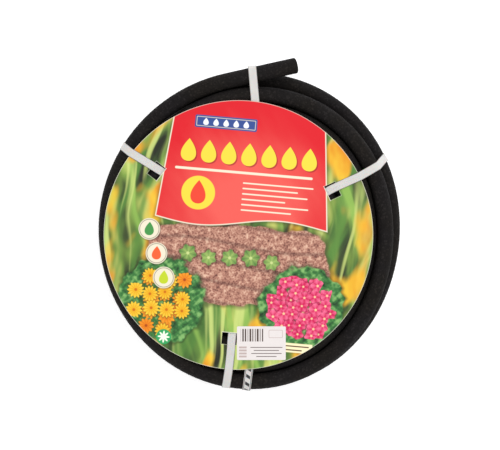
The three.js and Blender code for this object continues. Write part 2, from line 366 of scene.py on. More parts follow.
def face_outwards(obj, smooth):
    shape = bmesh.new()
    shape.from_mesh(obj.data)
    bmesh.ops.recalc_face_normals(shape, faces=shape.faces)
    shape.to_mesh(obj.data)
    shape.free()
    obj.data.polygons.foreach_set("use_smooth", [smooth] * len(obj.data.polygons))
    obj.data.update()


print("sweep helpers ready")

# %% [markdown]
# ## Helpers for materials
# All the materials here are made by a few moves: a noise, a range of values stretched to another, a mix of
# two colours and a bump. Each move is a function, so a material reads as a list of what is on its surface.

# %% Helpers for materials
def new_material(name, kind=NodeMaker):
    """An empty material and a maker of its nodes."""
    material = bpy.data.materials.new(name)
    material.use_nodes = True
    material.node_tree.nodes.clear()
    return material, kind(material.node_tree)


def srgb(red, green, blue):
    """A colour as it looks on a screen, 0 to 255, in the linear values that a shader takes."""
    linear = [((c / 255 + 0.055) / 1.055) ** 2.4 if c > 10 else c / 255 / 12.92 for c in (red, green, blue)]
    return (*linear, 1.0)


def noise(maker, vector, scale, detail=2.0, roughness=0.5):
    made = maker.node("ShaderNodeTexNoise", {
        "Vector": vector, "Scale": scale, "Detail": detail, "Roughness": roughness})
    return Amount(maker, made.outputs["Fac"])


def cell_chance(maker, cells):
    """A random number that is the same all over one cell of a Voronoi pattern."""
    return Amount(maker, maker.node("ShaderNodeSeparateColor", {0: cells.outputs["Color"]}).outputs[0])


def remap(maker, value, low, high, to_low=0.0, to_high=1.0, kind="SMOOTHSTEP"):
    made = maker.node("ShaderNodeMapRange", {
        "Value": value, "From Min": low, "From Max": high, "To Min": to_low, "To Max": to_high,
    }, interpolation_type=kind)
    return Amount(maker, made.outputs[0])


def mix_colour(maker, amount, first, second):
    made = maker.node("ShaderNodeMix", {0: amount, 6: first, 7: second}, data_type="RGBA")
    return made.outputs[2]


def bump(maker, height, strength, distance):
    made = maker.node("ShaderNodeBump", {"Height": height, "Strength": strength, "Distance": distance})
    return made.outputs[0]


def surface(maker, inputs):
    shader = maker.node("ShaderNodeBsdfPrincipled", inputs)
    maker.node("ShaderNodeOutputMaterial", {"Surface": shader.outputs[0]})


print("material helpers ready")

# %% [markdown]
# ## The rubber
# Porous hose is made of crumbs of old tyre rubber, pressed together hot. Its skin is dull black, slightly
# warm, full of pinholes, with a fine lengthwise drag from the die. The crumbs are a Voronoi pattern and the
# pinholes are noise, both far smaller than the hose. They read the piece's own coordinates, laid straight, so
# that the drag lines follow the hose round its loops.

# %% Material of the hose
CRUMBS = 620.0          # scales are in patterns to the metre
PINHOLES = 1500.0
DRAG_LINES = 900.0
DRAG_PULL = 0.06        # how much the drag lines are stretched along the hose
PATCHES = 45.0
WARM_STRETCHES = 14.0
PORE_DEPTH = 0.35 * MM
BLACK_RUBBER = (0.0022, 0.0018, 0.0018, 1)
COOL_RUBBER = (0.0164, 0.0140, 0.0150, 1)
WARM_RUBBER = (0.0186, 0.0152, 0.0128, 1)


def make_rubber():
    material, maker = new_material("porous_rubber")
    aside, up, _ = maker.parts(maker.attribute(ACROSS)["Vector"])
    laid = maker.vector(maker.attribute(ALONG)["Fac"], aside, up)
    drawn = maker.vector_maths("MULTIPLY", laid, (DRAG_PULL, 1.0, 1.0))

    crumbs = maker.node("ShaderNodeTexVoronoi", {"Vector": laid, "Scale": CRUMBS})
    crumb_height = remap(maker, crumbs.outputs["Distance"], 0.15, 0.75, 1.0, 0.0)
    crumb_tone = cell_chance(maker, crumbs)
    pale_crumbs = remap(maker, crumb_tone, 0.80, 0.95)
    pinholes = remap(maker, noise(maker, laid, PINHOLES, 3.0, 0.6), 0.30, 0.42)
    drag = noise(maker, drawn, DRAG_LINES)
    patches = noise(maker, laid, PATCHES, 4.0, 0.6)
    warmth = remap(maker, noise(maker, laid, WARM_STRETCHES), 0.38, 0.62)

    tone = crumb_tone * 0.3 + patches * 0.4 + drag * 0.15 + pale_crumbs * 0.45
    pale = mix_colour(maker, warmth, COOL_RUBBER, WARM_RUBBER)
    height = crumb_height * 0.55 + pinholes * 0.6 + drag * 0.25
    surface(maker, {
        "Base Color": mix_colour(maker, tone, BLACK_RUBBER, pale),
        "Roughness": remap(maker, patches, 0.3, 0.7, 0.74, 0.92),
        "Specular IOR Level": 0.13,
        "Normal": bump(maker, height, 0.75, PORE_DEPTH),
    })
    return material


rubber = make_rubber()
print("material:", rubber.name)

# %% [markdown]
# ## The hose
# The tree turns the route into a curve and sweeps a circle along it. The sweep leaves the ends open, and a
# cut hose has a wall: each end gets a slightly rounded lip, the bore goes in behind it, and a floor far
# inside closes the mesh.

# %% The sweep of the hose
HOSE_SIDES = 24


def hose_tree():
    tree, maker, given, line = new_sweep("sweep_hose", {
        "Radius": "NodeSocketFloat", "Sides": "NodeSocketInt"})
    upright = maker.node("GeometryNodeSetCurveNormal", {"Curve": line}, mode="Z_UP")
    circle = maker.node("GeometryNodeCurvePrimitiveCircle", {
        "Resolution": given["Sides"], "Radius": given["Radius"]})
    finish_sweep(maker, upright.outputs[0], circle.outputs[0], given["Material"], caps=False)
    return tree


hose_sweep = hose_tree()
print("tree:", hose_sweep.name)

# %% The cut ends
LIP_ROUND = 2.2 * MM
MOUTH_ROUND = 0.6 * MM
FREE_BORE_DEPTH = 26 * MM
HIDDEN_BORE_DEPTH = 20 * MM


def end_rows():
    """The lip and the mouth of the bore: how far each row stands out past the end's ring, and its radius."""
    rows = []
    for quarter in (0.25, 0.5, 0.75, 1.0):
        angle = quarter * TURN / 4
        rows.append((LIP_ROUND * math.sin(angle), hose_radius - LIP_ROUND * (1 - math.cos(angle))))
    for quarter in (0.0, 0.5, 1.0):
        angle = quarter * TURN / 4
        radius = HOSE_BORE / 2 + MOUTH_ROUND * (1 - math.sin(angle))
        rows.append((LIP_ROUND - MOUTH_ROUND * (1 - math.cos(angle)), radius))
    return rows


def close_end(shape, centre, outward, bore_depth):
    """Builds the cut end onto the open ring of the sweep that lies at a place."""
    along_layer = shape.verts.layers.float.get(ALONG)
    across_layer = shape.verts.layers.float_vector.get(ACROSS)
    rim = [edge for edge in shape.edges
           if edge.is_boundary and (edge.verts[0].co - centre).length < HOSE_OUTER]
    ring = {vert for edge in rim for vert in edge.verts}
    for vert in ring:
        vert.co -= outward * LIP_ROUND
    base = centre - outward * LIP_ROUND
    spokes = {vert: (vert.co - base).normalized() for vert in ring}
    row_before = {vert: vert for vert in ring}
    for out, radius in [*end_rows(), (LIP_ROUND - bore_depth, HOSE_BORE / 2)]:
        row = {}
        for vert in ring:
            made = shape.verts.new(base + outward * out + spokes[vert] * radius)
            made[along_layer] = vert[along_layer] + out
            made[across_layer] = vert[across_layer] * (radius / hose_radius)
            row[vert] = made
        for edge in rim:
            first, second = edge.verts
            shape.faces.new((row_before[first], row_before[second], row[second], row[first]))
        row_before = row
    floor = shape.verts.new(base + outward * (LIP_ROUND - bore_depth))
    for edge in rim:
        first, second = edge.verts
        shape.faces.new((row_before[first], row_before[second], floor))


print(len(end_rows()), "rows round each cut end")

# %% The hose
def make_hose():
    hose = chain_object("soaker_hose_coil", [(hose_path, False, distances_along(hose_path))])
    apply_tree(hose, hose_sweep, {"Radius": hose_radius, "Sides": HOSE_SIDES, "Material": rubber})
    shape = bmesh.new()
    shape.from_mesh(hose.data)
    for end, neighbour, depth in ((0, 1, FREE_BORE_DEPTH), (-1, -2, HIDDEN_BORE_DEPTH)):
        centre = Vector(hose_path[end])
        close_end(shape, centre, (centre - Vector(hose_path[neighbour])).normalized(), depth)
    shape.to_mesh(hose.data)
    shape.free()
    face_outwards(hose, smooth=True)
    return hose


hose = make_hose()
print(hose.name, len(hose.data.polygons), "faces")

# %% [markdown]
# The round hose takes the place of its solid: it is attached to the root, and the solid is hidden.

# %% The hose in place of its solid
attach(hose, "root")
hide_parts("hose")

# %% [markdown]
# ## Light and floor
# A product shot for a catalogue is lit from all round, with one large soft lamp above. The floor is plain
# and nearly white, and lit from below as on a light table, so that hardly any shadow shows. The black hose is
# then drawn by its crowns, which see the whole sky, and by the dark lines between its loops, which see
# little of it.

# %% Light and floor
SKY_STRENGTH = 1.0
LAMP_WATTS = 13.0
LAMP_SIZE = 1.3
LAMP_PLACE = (0.65, 0.85, 1.8)
FLOOR_SIZE = 8.0
FLOOR_GLOW = 0.4
FLOOR_DROP = 0.2 * MM
FLOOR_TINTS = ((0.92, 0.92, 0.92, 1.0), (0.96, 0.96, 0.96, 1.0))
WHITE = (1.0, 1.0, 1.0, 1.0)

sky = bpy.data.worlds.new("sky")
sky.use_nodes = True
sky.node_tree.nodes["Background"].inputs["Color"].default_value = WHITE
sky.node_tree.nodes["Background"].inputs["Strength"].default_value = SKY_STRENGTH
bpy.context.scene.world = sky
bpy.context.scene.view_settings.view_transform = "Standard"

lamp_light = bpy.data.lights.new("softbox", "AREA")
lamp_light.shape = "SQUARE"
lamp_light.size = LAMP_SIZE
lamp_light.energy = LAMP_WATTS
lamp = bpy.data.objects.new("softbox", lamp_light)
lamp.location = LAMP_PLACE
lamp.rotation_euler = (card_centre - Vector(LAMP_PLACE)).to_track_quat("-Z", "Y").to_euler()
bpy.context.collection.objects.link(lamp)


def make_floor():
    material, maker = new_material("floor_white")
    place = maker.node("ShaderNodeTexCoord").outputs["Object"]
    tone = noise(maker, place, 3.0, 3.0)
    surface(maker, {
        "Base Color": mix_colour(maker, tone, *FLOOR_TINTS),
        "Roughness": 0.85,
        "Emission Color": WHITE,
        "Emission Strength": FLOOR_GLOW,
    })
    half = FLOOR_SIZE / 2
    mesh = bpy.data.meshes.new("floor")
    mesh.from_pydata([(-half, -half, -FLOOR_DROP), (half, -half, -FLOOR_DROP),
                      (half, half, -FLOOR_DROP), (-half, half, -FLOOR_DROP)], [], [(0, 1, 2, 3)])
    mesh.materials.append(material)
    floor = bpy.data.objects.new("floor", mesh)
    bpy.context.collection.objects.link(floor)
    return floor


make_floor()
print("lamp of", LAMP_WATTS, "W over a floor of", FLOOR_SIZE, "m")

# %% [markdown]
# ## The route of a strap
# A strap is pulled tight round the coil, so it lies where a string would: straight between the hose runs that
# stand out furthest, and bent round those. That line is worked out from its tangents. For each of many
# directions, the strap's line touches the place that reaches furthest that way, and two neighbouring lines
# cross at a bend. The card straps also pass over the edge of the card and dive through a slot. They were
# pulled tight by hand, so their upper runs slip a few millimetres sideways over the round loops.

# %% Sizes of the straps and the slots
STRAP_WIDTH = 10 * MM
STRAP_THICKNESS = 0.7 * MM
STRAP_CLEARANCE = 0.3 * MM
STRAP_BENDS = 72
WELD_LENGTH = 28 * MM
WELD_BITE = 0.05 * MM
SLOT_INSET = 36.5 * MM
SLOT_LENGTH = 14 * MM
SLOT_WIDTH = 18 * MM
SLOT_MARGIN = 1.3 * MM
SLIP_BEND = 15 * MM
STRAP_STEP = 6 * MM
FINE_POINTS_PER_LOOP = 720

slot_reach = card_radius - SLOT_INSET
strap_radius = STRAP_CLEARANCE + STRAP_THICKNESS / 2
card_bottom, card_top = card_low.z, card_high.z
held_line = hose_line(FINE_POINTS_PER_LOOP)
print("slots", round(slot_reach / MM, 1), "mm from the middle of the card")

# %% What a strap passes round
def in_strap_plane(heading, x, y):
    """Distance along a heading and sideways of it."""
    return x * math.cos(heading) + y * math.sin(heading), y * math.cos(heading) - x * math.sin(heading)


def hose_discs(heading, offset):
    """What the strap passes round: (distance along, height, radius) for each place of the hose under it.

    A ball of the hose's size round a place beside the strap still reaches under its edge, as a smaller disc.
    """
    along, across = in_strap_plane(heading, held_line[:, 0], held_line[:, 1])
    beside = np.maximum(0.0, np.abs(across - offset) - STRAP_WIDTH / 2 - STRAP_CLEARANCE)
    under = (along > 0) & (beside < hose_radius)
    radius = np.sqrt(hose_radius ** 2 - beside[under] ** 2) + strap_radius
    return np.column_stack((along[under], held_line[under, 2], radius))


print(len(held_line), "places of the hose to hold")

# %% The taut line round them
def taut_line(discs):
    angles = np.arange(STRAP_BENDS) * TURN / STRAP_BENDS
    normals = np.column_stack((np.cos(angles), np.sin(angles)))
    reaches = (normals @ discs[:, :2].T + discs[:, 2]).max(axis=1)
    bends = []
    for k in range(STRAP_BENDS):
        pair = [k, (k + 1) % STRAP_BENDS]
        bends.append(np.linalg.solve(normals[pair], reaches[pair]))
    return np.array(bends)


print("a bend every", 360 / STRAP_BENDS, "degrees")

# %% The line of a card strap
def slot_place(slot_angle, side):
    """The middle of the strap where it dives: beside the slot's middle, towards one end of its width."""
    aside = side * ((SLOT_WIDTH - STRAP_WIDTH) / 2 - SLOT_MARGIN)
    cosine, sine = math.cos(slot_angle), math.sin(slot_angle)
    return CARD_OFF_AXIS + Vector((slot_reach * cosine - aside * sine, slot_reach * sine + aside * cosine))


def card_strap_line(heading, slot_angle, side, slips):
    """The strap's place across its plane, its line, and how far it slips sideways at distances along.

    slips holds the slip just past the slot, over the card's edge, over the outer loops and at the outermost.
    """
    along, across = in_strap_plane(heading, *slot_place(slot_angle, side))
    half_slot = SLOT_LENGTH / 2 / math.cos(heading - slot_angle)
    aslant = STRAP_WIDTH / 2 * math.tan(abs(heading - slot_angle))
    middle_along, middle_across = in_strap_plane(heading, *CARD_OFF_AXIS)
    away = abs(across - middle_across) + STRAP_WIDTH / 2
    edge = (middle_along + math.sqrt(card_radius ** 2 - away ** 2), card_top, strap_radius)
    discs = hose_discs(heading, across)
    over = taut_line(np.vstack((discs, edge)))
    under = taut_line(discs)
    dive = [(along + half_slot - aslant, card_top + strap_radius),
            (along - half_slot + aslant, card_bottom - strap_radius)]
    quarter = STRAP_BENDS // 4
    outermost = over[:, 0].max()
    stations = (along, along + SLOT_LENGTH, edge[0], outermost - SLIP_BEND, outermost)
    slip_line = (stations, (0.0, *slips))
    return across, np.vstack((over[:quarter], dive, under[quarter:])), slip_line


print("card straps dive", round((card_top - card_bottom) / MM, 1), "mm through the card")

# %% [markdown]
# ## The straps
# Strapping is a thin band of white polypropylene, a little see-through, rolled with a fine diamond grain.
# Its edges carry painted shade: the tone darkens over their outer millimetres and a grey rim runs along each,
# as the rounded, see-through edges look over the black rubber. Its ends overlap and are welded flat, here on
# the inside of the coil. The band is a rounded rectangle swept along the taut line, with its width held
# square to the strap's upright plane.

# %% Pattern of the straps
GRAIN_PITCH = 1.25 * MM
DASH_PITCH = 9 * MM
DASH_SLANT = 0.5
DASH_SHARE = 0.42
DASH_REACH = 2.6 * MM
RULE_PLACE = 3.7 * MM
RULE_HALF = 0.3 * MM
INK_EDGE = 0.12 * MM


def strap_grain(maker, along, across):
    """Diamonds: two sets of fine grooves that cross aslant."""
    first = maker.maths("SINE", (along + across) * (TURN / GRAIN_PITCH))
    second = maker.maths("SINE", (along - across) * (TURN / GRAIN_PITCH))
    return first * second


def inked(maker, distance, reach):
    """1 within a reach of a line, with a soft edge."""
    return remap(maker, distance, reach + INK_EDGE, reach - INK_EDGE)


def strap_dashes(maker, along, across):
    """A plain row of slanted dashes between two lines, as a packer's strapping has."""
    from_middle = abs(across)
    leaning = (along + across * DASH_SLANT) / DASH_PITCH
    phase = abs(maker.maths("FRACT", leaning) - 0.5) * DASH_PITCH
    dash = inked(maker, phase, DASH_SHARE * DASH_PITCH / 2)
    within = inked(maker, from_middle, DASH_REACH)
    rule = inked(maker, abs(from_middle - RULE_PLACE), RULE_HALF)
    return maker.maths("MAXIMUM", dash * within, rule)


print("dashes every", DASH_PITCH / MM, "mm")

# %% Material of the straps
CLOUDS = 60.0               # scales are in patterns to the metre
ROLLED = (30.0, 1500.0)     # along and across
# The strap's painted edge shade starts this far from its middle, and its painted grey rim is this wide.
EDGE_SHADE_START = 3.6 * MM
RIM_SHADE_WIDTH = 0.75 * MM
GRAIN_DEPTH = 0.12 * MM
GLOW_DEPTH = 1.2 * MM
STRAP_WHITE = srgb(212, 209, 205)
STRAP_SHADE = srgb(184, 183, 181)
STRAP_RIM_SHADE = srgb(112, 109, 106)
STRAP_INK = srgb(28, 27, 30)


def make_strap_plastic(name, printed):
    material, maker = new_material(name)
    along = Amount(maker, maker.attribute(ALONG)["Fac"])
    across, _, _ = maker.parts(maker.attribute(ACROSS)["Vector"])
    from_middle = abs(across)
    cloud = noise(maker, maker.node("ShaderNodeTexCoord").outputs["Object"], CLOUDS, 3.0)
    rolled = noise(maker, maker.vector(along * ROLLED[0], across * ROLLED[1]), 1.0)

    # Painted shade: the tone darkens towards each edge and a grey rim runs along it, standing in for the
    # rounded, see-through edges over the black rubber.
    tone = cloud * 0.5 + rolled * 0.35 + remap(maker, from_middle, EDGE_SHADE_START, STRAP_WIDTH / 2) * 0.3
    rim_shade = remap(maker, from_middle, STRAP_WIDTH / 2 - RIM_SHADE_WIDTH, STRAP_WIDTH / 2 - RIM_SHADE_WIDTH / 3)
    colour = mix_colour(maker, tone, STRAP_WHITE, STRAP_SHADE)
    colour = mix_colour(maker, rim_shade, colour, STRAP_RIM_SHADE)
    if printed:
        colour = mix_colour(maker, strap_dashes(maker, along, across), colour, STRAP_INK)
    surface(maker, {
        "Base Color": colour,
        "Roughness": remap(maker, rolled, 0.3, 0.7, 0.34, 0.5),
        "Subsurface Weight": 0.12,
        "Subsurface Scale": GLOW_DEPTH,
        "Normal": bump(maker, strap_grain(maker, along, across) + rolled * 0.6, 0.45, GRAIN_DEPTH),
    })
    return material


plain_plastic = make_strap_plastic("strapping_white", printed=False)
printed_plastic = make_strap_plastic("strapping_printed", printed=True)
print("materials:", plain_plastic.name, printed_plastic.name)

# %% The sweep of a strap
STRAP_EDGE_ROUND = 0.2 * MM
STRAP_EDGE_STEPS = 3


def strap_tree():
    tree, maker, given, line = new_sweep("sweep_strap", {
        "Width": "NodeSocketFloat", "Thickness": "NodeSocketFloat", "Edge Round": "NodeSocketFloat",
        "Across": "NodeSocketVector"})
    level = maker.node("GeometryNodeSetCurveNormal", {"Curve": line, "Normal": given["Across"]}, mode="FREE")
    band = maker.node("GeometryNodeCurvePrimitiveQuadrilateral", {
        "Width": given["Width"], "Height": given["Thickness"]})
    eased = maker.node("GeometryNodeFilletCurve", {
        "Curve": band.outputs[0], "Count": STRAP_EDGE_STEPS, "Radius": given["Edge Round"]}, mode="POLY")
    finish_sweep(maker, level.outputs[0], eased.outputs[0], given["Material"], caps=True)
    return tree


strap_sweep = strap_tree()
print("tree:", strap_sweep.name)

# %% A strap and its weld
def finer(line, longest):
    """The same closed line with points added, so that no step is longer than a given length."""
    made = []
    for start, end in zip(line, np.roll(line, -1, axis=0)):
        count = math.ceil(np.linalg.norm(end - start) / longest)
        made.extend(start + (end - start) * k / count for k in range(count))
    return np.array(made)


def weld_line(line):
    """The overlap, one thickness further from the hose, on the longest upright run."""
    drops = line[:, 1] - np.roll(line[:, 1], -1)
    run = int(np.argmax(drops))
    middle = (line[run, 1] + line[(run + 1) % len(line), 1]) / 2
    wall = line[run, 0] - STRAP_THICKNESS + WELD_BITE
    return np.array([(wall, middle + WELD_LENGTH / 2), (wall, middle - WELD_LENGTH / 2)])


def make_strap(node, heading, across, line, slip_line, material):
    """A closed band along its line, with the weld as a short run of its own."""
    forward = np.array((math.cos(heading), math.sin(heading), 0))
    sideways = np.array((-math.sin(heading), math.cos(heading), 0))

    def placed(points):
        """Full slip at the height of the card, none on the ground."""
        slip = np.interp(points[:, 0], *slip_line) * np.clip(points[:, 1] / card_bottom, 0, 1)
        aside = (across + slip)[:, None] * sideways
        return points[:, :1] * forward + aside + points[:, 1:] * (0, 0, 1) + np.array(coil_axis)

    loop, weld = placed(finer(line, STRAP_STEP)), placed(weld_line(line))
    runs = [(loop, True, distances_along(loop)), (weld, False, distances_along(weld))]
    strap = chain_object("fitted_" + node, runs)
    apply_tree(strap, strap_sweep, {
        "Width": STRAP_WIDTH, "Thickness": STRAP_THICKNESS, "Edge Round": STRAP_EDGE_ROUND,
        "Across": tuple(sideways), "Material": material})
    face_outwards(strap, smooth=False)
    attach(strap, "root")
    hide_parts(node)
    return strap


print("welds of", round(WELD_LENGTH / MM), "mm")

# %% [markdown]
# Two straps bind the coil, one at the back and one at the front, and the front one is printed. Three more
# hold the card. Each crosses the coil on a heading of its own, in degrees round the axis.

# %% The five straps
BINDING_STRAPS = (      # node, heading, distance beside the axis, sideways slip, plastic
    ("binding_strap_back", 95.2, -18.5 * MM, -0.3 * MM, plain_plastic),
    ("binding_strap_front", 262.9, 16.0 * MM, 1.2 * MM, printed_plastic),
)
CARD_STRAPS = (         # node, heading, angle of its slot, side of the slot, sideways slips
    ("card_strap_right", 30.6, 25.0, 1, (-1.5 * MM, -4.0 * MM, -4.4 * MM, 0.0)),
    ("card_strap_left", 148.3, 142.0, -1, (0.0, 0.2 * MM, 0.5 * MM, -1.6 * MM)),
    ("card_strap_front", 262.9, 265.0, 1, (0.8 * MM, 1.1 * MM, 0.9 * MM, 0.3 * MM)),
)
straps = []
for node, degrees, offset, slip, material in BINDING_STRAPS:
    heading = math.radians(degrees)
    line = taut_line(hose_discs(heading, offset))
    straps.append(make_strap(node, heading, offset, line, ((0.0,), (slip,)), material))
for node, degrees, slot_degrees, side, slips in CARD_STRAPS:
    heading = math.radians(degrees)
    across, line, slip_line = card_strap_line(heading, math.radians(slot_degrees), side, slips)
    straps.append(make_strap(node, heading, across, line, slip_line, plain_plastic))
for strap in straps:
    print(strap.name, len(strap.data.polygons), "faces", [round(d / MM, 1) for d in strap.dimensions])

# %% [markdown]
# ## The printed card
# The card is thin varnished board. Its print is a garden scene in the colours that such packaging has: a red
# panel on blurred green and yellow leaves, with soil and flowers below. The picture here is a generic one,
# drawn by formulas. Every motif is a shape on the card's own plane, measured in millimetres from its middle
# and turned with the card, and each is painted over the one before.

# %% The card's plane and its ink
CARD_TURN = math.radians(-5.0)
SOFT_EDGE = 0.5
FINE_EDGE = 0.35
CELL_EDGE = 0.1


class CardInk(NodeMaker):
    """Paints shapes over each other. u and v are millimetres right and up from the card's middle."""

    def __init__(self, tree):
        super().__init__(tree)
        self.room = self.node("ShaderNodeTexCoord").outputs["Object"]
        _, _, self.height = self.parts(self.room)
        centred = self.vector_maths("SUBTRACT", self.room, tuple(card_centre))
        self.plane = self.vector_maths("MULTIPLY", self.turned(centred, -CARD_TURN), (1 / MM, 1 / MM, 0))
        self.u, self.v, _ = self.parts(self.plane)
        self.colour = None

    def paint(self, mask, colour):
        self.colour = mix_colour(self, mask, self.colour, colour)

    def inside(self, distance, soft=SOFT_EDGE):
        """1 where a distance from a shape's edge is negative."""
        return remap(self, distance, soft, -soft)

    def fill(self, distance, colour, soft=SOFT_EDGE):
        self.paint(self.inside(distance, soft), colour)

    def most(self, first, second):
        return self.maths("MAXIMUM", first, second)

    def least(self, first, second):
        return self.maths("MINIMUM", first, second)

    def length(self, x, y):
        return self.maths("SQRT", x * x + y * y)

    def disc(self, u, v, radius):
        return self.length(self.u - u, self.v - v) - radius

    def box(self, u, v, width, height, corner=0.0):
        """Distance from the edge of a rectangle with round corners, negative inside it."""
        across = abs(self.u - u) - (width / 2 - corner)
        up = abs(self.v - v) - (height / 2 - corner)
        outside = self.length(self.most(across, 0.0), self.most(up, 0.0))
        return outside + self.least(self.most(across, up), 0.0) - corner

    def row(self, u, count, pitch):
        """The number of the place in a row that is centred on u, and a mask of the row's own places."""
        place = self.maths("ROUND", (self.u - u) / pitch)
        return place, self.inside(abs(place) - count / 2, CELL_EDGE)

    def ramp(self, amount, stops):
        made = self.node("ShaderNodeValToRGB", {"Fac": amount})
        band = made.color_ramp
        while len(band.elements) < len(stops):
            band.elements.new(0.5)
        for element, (place, colour) in zip(band.elements, stops):
            element.position = place
            element.color = colour
        return made.outputs[0]


print("card plane turned", round(math.degrees(CARD_TURN), 1), "degrees")

# %% [markdown]
# Leaves out of focus are soft streaks of green, with dark shade between them and warm blots where flowers
# are. Noise that is pulled long gives the streaks. Each layer of blades leans its own way, so they cross.

# %% Background of leaves
FAR_LEAVES = (
    (0.0, srgb(38, 42, 30)), (0.3, srgb(66, 82, 44)), (0.6, srgb(112, 140, 62)), (1.0, srgb(190, 196, 104)))
BLADE_LENGTH = 220.0
BLADES = (      # lean, width, the values of its streaks between which a blade appears, tint
    (16.0, 24.0, 0.46, 0.62, srgb(84, 132, 58)),
    (-12.0, 19.0, 0.50, 0.64, srgb(142, 182, 84)),
    (3.0, 14.0, 0.53, 0.68, srgb(200, 214, 124)),
)
BLADE_COVER = 0.85
BLOT_COVER = 0.92
BLOTS = ((0.35, srgb(226, 138, 22)), (0.65, srgb(240, 196, 54)))


def streaks(ink, lean, width, length, plane=None):
    """Soft streaks that lean by an angle from upright, their width and length in millimetres."""
    turned = ink.turned(plane or ink.plane, math.radians(lean))
    return noise(ink, ink.vector_maths("MULTIPLY", turned, (1 / width, 1 / length, 1.0)), 1.0, roughness=0.45)


def paint_leaves(ink):
    """Far leaves as a soft ground, blades in front of it, and warm blots."""
    sway = noise(ink, ink.plane, scale=0.009, detail=1.0) * 50.0
    bent = ink.vector(ink.u + sway, ink.v)
    far = streaks(ink, lean=8.0, width=34.0, length=80.0, plane=bent)
    ink.colour = ink.ramp(remap(ink, far, 0.38, 0.62, kind="LINEAR"), FAR_LEAVES)
    for lean, width, low, high, tint in BLADES:
        ink.paint(remap(ink, streaks(ink, lean, width, BLADE_LENGTH, bent), low, high) * BLADE_COVER, tint)
    warm = remap(ink, streaks(ink, lean=12.0, width=42.0, length=80.0), 0.51, 0.62)
    ink.paint(warm * BLOT_COVER, ink.ramp(streaks(ink, lean=-15.0, width=20.0, length=50.0), BLOTS))


print(len(BLADES), "layers of blades")

# %% [markdown]
# Soil is two grains, fine crumbs and coarser clods, with furrows across it and a ragged shore. Its crumbs are
# a Voronoi pattern and its clods are noise, mixed before the colour is looked up.

# %% Soil
SOIL_BED = (2.0, -36.0, 214.0, 92.0, 30.0)      # u, v, width, height, corner
SOIL_EDGE = 1.2
SOIL_SHADE = 3.0
EARTH = (
    (0.0, srgb(80, 48, 44)), (0.3, srgb(146, 97, 84)),
    (0.62, srgb(184, 133, 114)), (1.0, srgb(222, 182, 158)))
FURROW_PITCH = 24.0
FURROW_WAVE = (38.0, 5.0)       # a furrow's sine wave: millimetres to a radian, and height


def ragged(ink, scale, reach):
    """An uneven distance, up to a reach either way, that makes a shape's edge ragged."""
    return noise(ink, ink.plane, scale) * (2 * reach) - reach


def paint_soil(ink):
    shape = ink.box(*SOIL_BED) + ragged(ink, 0.03, 11.0)
    crumbs = ink.node("ShaderNodeTexVoronoi", {"Vector": ink.plane, "Scale": 0.45}).outputs["Distance"]
    clods = noise(ink, ink.plane, scale=0.13, detail=5.0, roughness=0.7)
    tone = remap(ink, Amount(ink, crumbs) * 0.3 + clods * 0.8, 0.34, 0.74, kind="LINEAR")
    wave = ink.maths("SINE", ink.u / FURROW_WAVE[0]) * FURROW_WAVE[1]
    furrow = abs(ink.maths("FRACT", (ink.v + wave) / FURROW_PITCH) - 0.5)
    ink.paint(ink.inside(shape - SOIL_SHADE, SOIL_SHADE) * 0.55, srgb(52, 34, 32))
    ink.fill(shape, ink.ramp(tone, EARTH), SOIL_EDGE)
    ink.paint(ink.inside(shape, SOIL_EDGE) * remap(ink, furrow, 0.16, 0.0) * 0.45, srgb(70, 40, 40))


print("soil of", SOIL_BED[2], "by", SOIL_BED[3], "mm")

# %% [markdown]
# A flower is a wavy circle: its edge reaches out once for each petal. A bed of flowers is a Voronoi pattern,
# where each cell's middle carries one, and the cell's random number turns it and shifts its size and tint. A
# row of seedlings is one plant repeated at an even pitch. Both are painted by the same function.

# %% A bloom, a bed and a row
def paint_blooms(ink, x, y, chance, region, petals, reach, inner, outer, heart, shade):
    """A bloom round each middle. x and y run from that middle, chance is its own random number."""
    distance = ink.length(x, y)
    angle = ink.maths("ARCTAN2", y, x) + chance * TURN
    wave = ink.maths("COSINE", angle * petals)
    size = reach * (0.82 + 0.18 * chance)
    edge = size * (0.88 + 0.12 * wave) + ragged(ink, 0.5, 0.8)
    vein = ink.maths("COSINE", angle * (petals * 3))
    light = distance / size * 0.55 + wave * 0.2 + vein * 0.06 + chance * 0.3
    petal = mix_colour(ink, remap(ink, light, 0.2, 1.0, kind="LINEAR"), inner, outer)
    ink.paint(ink.inside(distance - edge - 1.6, 1.6) * region * 0.6, shade)
    ink.paint(ink.inside(distance - edge, FINE_EDGE) * region, petal)
    ink.paint(ink.inside(distance - size * 0.17, 0.6) * region, heart)


def paint_bed(ink, middle_u, middle_v, radius, cell, slide, bloom):
    """Flowers whose middles lie in a round bed, a cell apart. slide shifts the cells, so beds differ."""
    slid = ink.vector_maths("ADD", ink.plane, (slide, slide, 0))
    cells = ink.node("ShaderNodeTexVoronoi", {
        "Vector": slid, "Scale": 1 / cell, "Randomness": 0.45}, voronoi_dimensions="2D")
    x, y, _ = ink.parts(ink.vector_maths("SUBTRACT", slid, cells.outputs["Position"]))
    within = ink.inside(ink.length(ink.u - x - middle_u, ink.v - y - middle_v) - radius, CELL_EDGE)
    paint_blooms(ink, x, y, cell_chance(ink, cells), within, **bloom)


def paint_row(ink, u, v, count, pitch, bloom):
    """A row of plants, centred on a place."""
    place, within = ink.row(u, count, pitch)
    chance = ink.maths("FRACT", place * 0.37 + 0.6)
    x = ink.u - u - place * pitch
    y = ink.v - v - ink.maths("SINE", place * 2.0) * 2.0
    paint_blooms(ink, x, y, chance, within, **bloom)


print("bloom painter ready")

